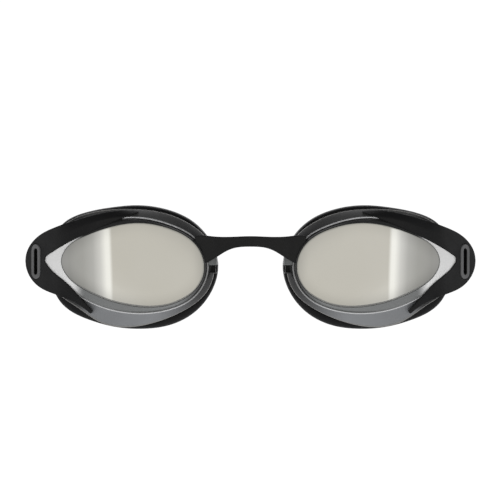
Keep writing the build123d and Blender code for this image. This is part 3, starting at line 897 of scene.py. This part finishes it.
def make_world():
    """A plain studio: warm grey ahead, a bright card each side of the camera, dark above, white below."""
    world = bpy.data.worlds.new("studio")
    bpy.context.scene.world = world
    world.use_nodes = True
    tree = world.node_tree
    tree.nodes.clear()

    def add(kind, **values):
        new = tree.nodes.new(kind)
        for key, value in values.items():
            setattr(new, key, value)
        return new

    def join(a, b):
        tree.links.new(a, b)

    place = add("ShaderNodeTexCoord")
    split = add("ShaderNodeSeparateXYZ")
    join(place.outputs["Generated"], split.inputs[0])
    across = add("ShaderNodeMath", operation="ABSOLUTE")
    join(split.outputs["X"], across.inputs[0])
    ahead = add("ShaderNodeMath", operation="MULTIPLY")
    ahead.inputs[1].default_value = -1.0
    join(split.outputs["Y"], ahead.inputs[0])
    turn = add("ShaderNodeMath", operation="ARCTAN2")
    join(across.outputs[0], turn.inputs[0])
    join(ahead.outputs[0], turn.inputs[1])
    slant = add("ShaderNodeMath", operation="MULTIPLY_ADD")
    slant.inputs[1].default_value = CARD_SLANT
    join(split.outputs["Z"], slant.inputs[0])
    join(turn.outputs[0], slant.inputs[2])
    share = add("ShaderNodeMath", operation="DIVIDE")
    share.inputs[1].default_value = math.pi
    join(slant.outputs[0], share.inputs[0])
    ramp = add("ShaderNodeValToRGB")
    join(share.outputs[0], ramp.inputs["Fac"])
    elements = ramp.color_ramp.elements
    while len(elements) < len(SURROUNDINGS):
        elements.new(0.5)
    for element, (degrees, colour) in zip(elements, SURROUNDINGS):
        element.position = degrees / 180
        element.color = (*colour, 1.0)

    def mix_by_height(base, top, span, sign):
        """Goes from one colour to another over a span of degrees up, or down for sign -1."""
        height = add("ShaderNodeMath", operation="MULTIPLY")
        height.inputs[1].default_value = sign
        join(split.outputs["Z"], height.inputs[0])
        share = add("ShaderNodeMapRange", interpolation_type="SMOOTHSTEP")
        share.inputs["From Min"].default_value = math.sin(math.radians(span[0]))
        share.inputs["From Max"].default_value = math.sin(math.radians(span[1]))
        join(height.outputs[0], share.inputs["Value"])
        mix = add("ShaderNodeMix", data_type="RGBA")
        join(share.outputs["Result"], mix.inputs["Factor"])
        join(base, mix.inputs["A"])
        if isinstance(top, tuple):
            mix.inputs["B"].default_value = (*top, 1.0)
        else:
            join(top, mix.inputs["B"])
        return mix.outputs["Result"]

    rear = add("ShaderNodeMapRange", interpolation_type="SMOOTHSTEP")
    rear.inputs["From Min"].default_value = BEHIND_SPAN[0]
    rear.inputs["From Max"].default_value = BEHIND_SPAN[1]
    join(split.outputs["Y"], rear.inputs["Value"])
    above = add("ShaderNodeMix", data_type="RGBA")
    above.inputs["A"].default_value = (*ABOVE_AHEAD, 1.0)
    above.inputs["B"].default_value = (*ABOVE_BEHIND, 1.0)
    join(rear.outputs["Result"], above.inputs["Factor"])
    colour = mix_by_height(ramp.outputs["Color"], above.outputs["Result"], ABOVE_SPAN, 1.0)
    colour = mix_by_height(colour, BELOW, BELOW_SPAN, -1.0)
    light = add("ShaderNodeBackground")
    join(colour, light.inputs["Color"])
    plain = add("ShaderNodeBackground")
    plain.inputs["Color"].default_value = (1.0, 1.0, 1.0, 1.0)
    plain.inputs["Strength"].default_value = BACKDROP
    path = add("ShaderNodeLightPath")
    choose = add("ShaderNodeMixShader")
    join(path.outputs["Is Camera Ray"], choose.inputs["Fac"])
    join(light.outputs[0], choose.inputs[1])
    join(plain.outputs[0], choose.inputs[2])
    output = add("ShaderNodeOutputWorld")
    join(choose.outputs[0], output.inputs["Surface"])


def make_lights():
    """Two large soft lamps aimed at the goggles, which don't show in reflections."""
    for name, place, size, power in LAMPS:
        data = bpy.data.lights.new(name, "AREA")
        data.shape = "RECTANGLE"
        data.size = size[0] * MM
        data.size_y = size[1] * MM
        data.energy = power
        lamp = bpy.data.objects.new(name, data)
        bpy.context.scene.collection.objects.link(lamp)
        lamp.location = np.array(place) * MM
        lamp.visible_glossy = False
        aim = -lamp.location
        lamp.rotation_euler = aim.to_track_quat("-Z", "Y").to_euler()


def make_floor():
    """A plain pale floor far below, whose glow doesn't show in reflections."""
    floor_material = material("floor_white", (0.9, 0.9, 0.9), 0.6)
    tint(floor_material, noise(floor_material, 8.0), (0.88, 0.88, 0.88), (0.91, 0.91, 0.91))
    shader = floor_material.node_tree.nodes[SHADER]
    shader.inputs["Emission Color"].default_value = (1.0, 1.0, 1.0, 1.0)
    path = node(floor_material, "ShaderNodeLightPath")
    dim = node(floor_material, "ShaderNodeMath", operation="MULTIPLY_ADD")
    dim.inputs[1].default_value = -FLOOR_GLOW
    dim.inputs[2].default_value = FLOOR_GLOW
    link(floor_material, path.outputs["Is Glossy Ray"], dim.inputs[0])
    link(floor_material, dim.outputs[0], shader.inputs["Emission Strength"])
    corners = [(x * FLOOR_REACH, y * FLOOR_REACH, FLOOR_LEVEL) for x, y in ((-1, -1), (1, -1), (1, 1), (-1, 1))]
    mesh_object("floor", corners, [(0, 1, 2, 3)], [floor_material])


def make_camera():
    """A camera level with the goggles, straight ahead of them."""
    data = bpy.data.cameras.new("camera")
    data.sensor_width = SENSOR
    data.lens = SENSOR * CAMERA_DISTANCE / VIEW_WIDTH
    data.clip_start = 0.01
    camera = bpy.data.objects.new("camera", data)
    bpy.context.scene.collection.objects.link(camera)
    camera.location = (CAMERA_X * MM, (FRONT_Y - CAMERA_DISTANCE) * MM, CAMERA_Z * MM)
    camera.rotation_euler = (math.pi / 2, 0, 0)
    bpy.context.scene.camera = camera


bpy.context.scene.view_settings.view_transform = "Standard"
make_world()
make_lights()
make_floor()
make_camera()
